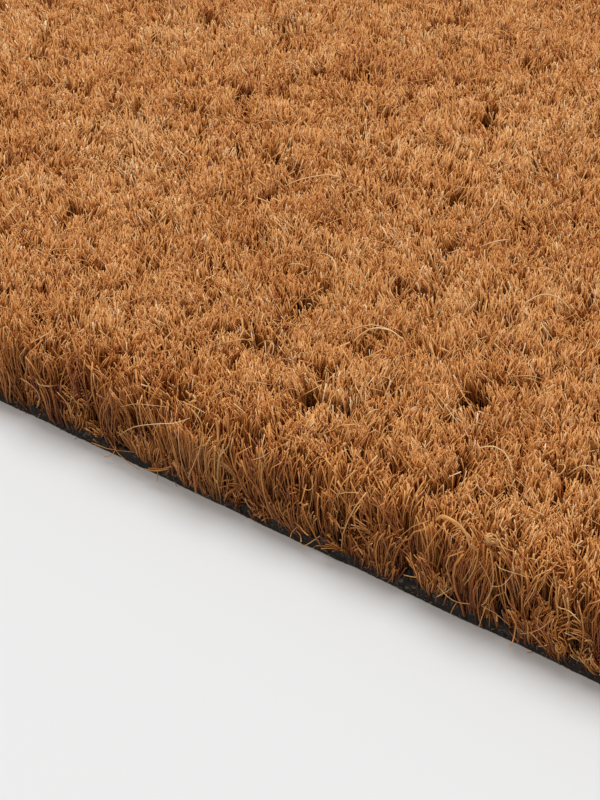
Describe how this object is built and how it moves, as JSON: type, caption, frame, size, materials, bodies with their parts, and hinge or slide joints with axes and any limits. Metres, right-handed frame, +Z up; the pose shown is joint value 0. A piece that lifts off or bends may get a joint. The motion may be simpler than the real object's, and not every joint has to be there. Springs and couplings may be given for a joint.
{
  "type": "door mat",
  "caption": "Rectangular coir door mat: rows of upright fibre tufts set in a thin dark PVC backing sheet that lies flat on the floor.",
  "frame": {"origin": "middle of the underside, on the floor", "axes": "+X along the long side, +Y along the short side, +Z up from the floor through the pile"},
  "size_m": [0.6, 0.4, 0.017],
  "materials": {
    "backing_pvc": "matte charcoal PVC, slightly grained, cut edge flecked with fibre",
    "coir": "natural golden-brown coir fibre, matte to slightly glossy, uneven in shade"
  },
  "bodies": {
    "root": {"backing_sheet": "backing_pvc", "coir_tuft_rows": "coir"}
  },
  "joints": []
}
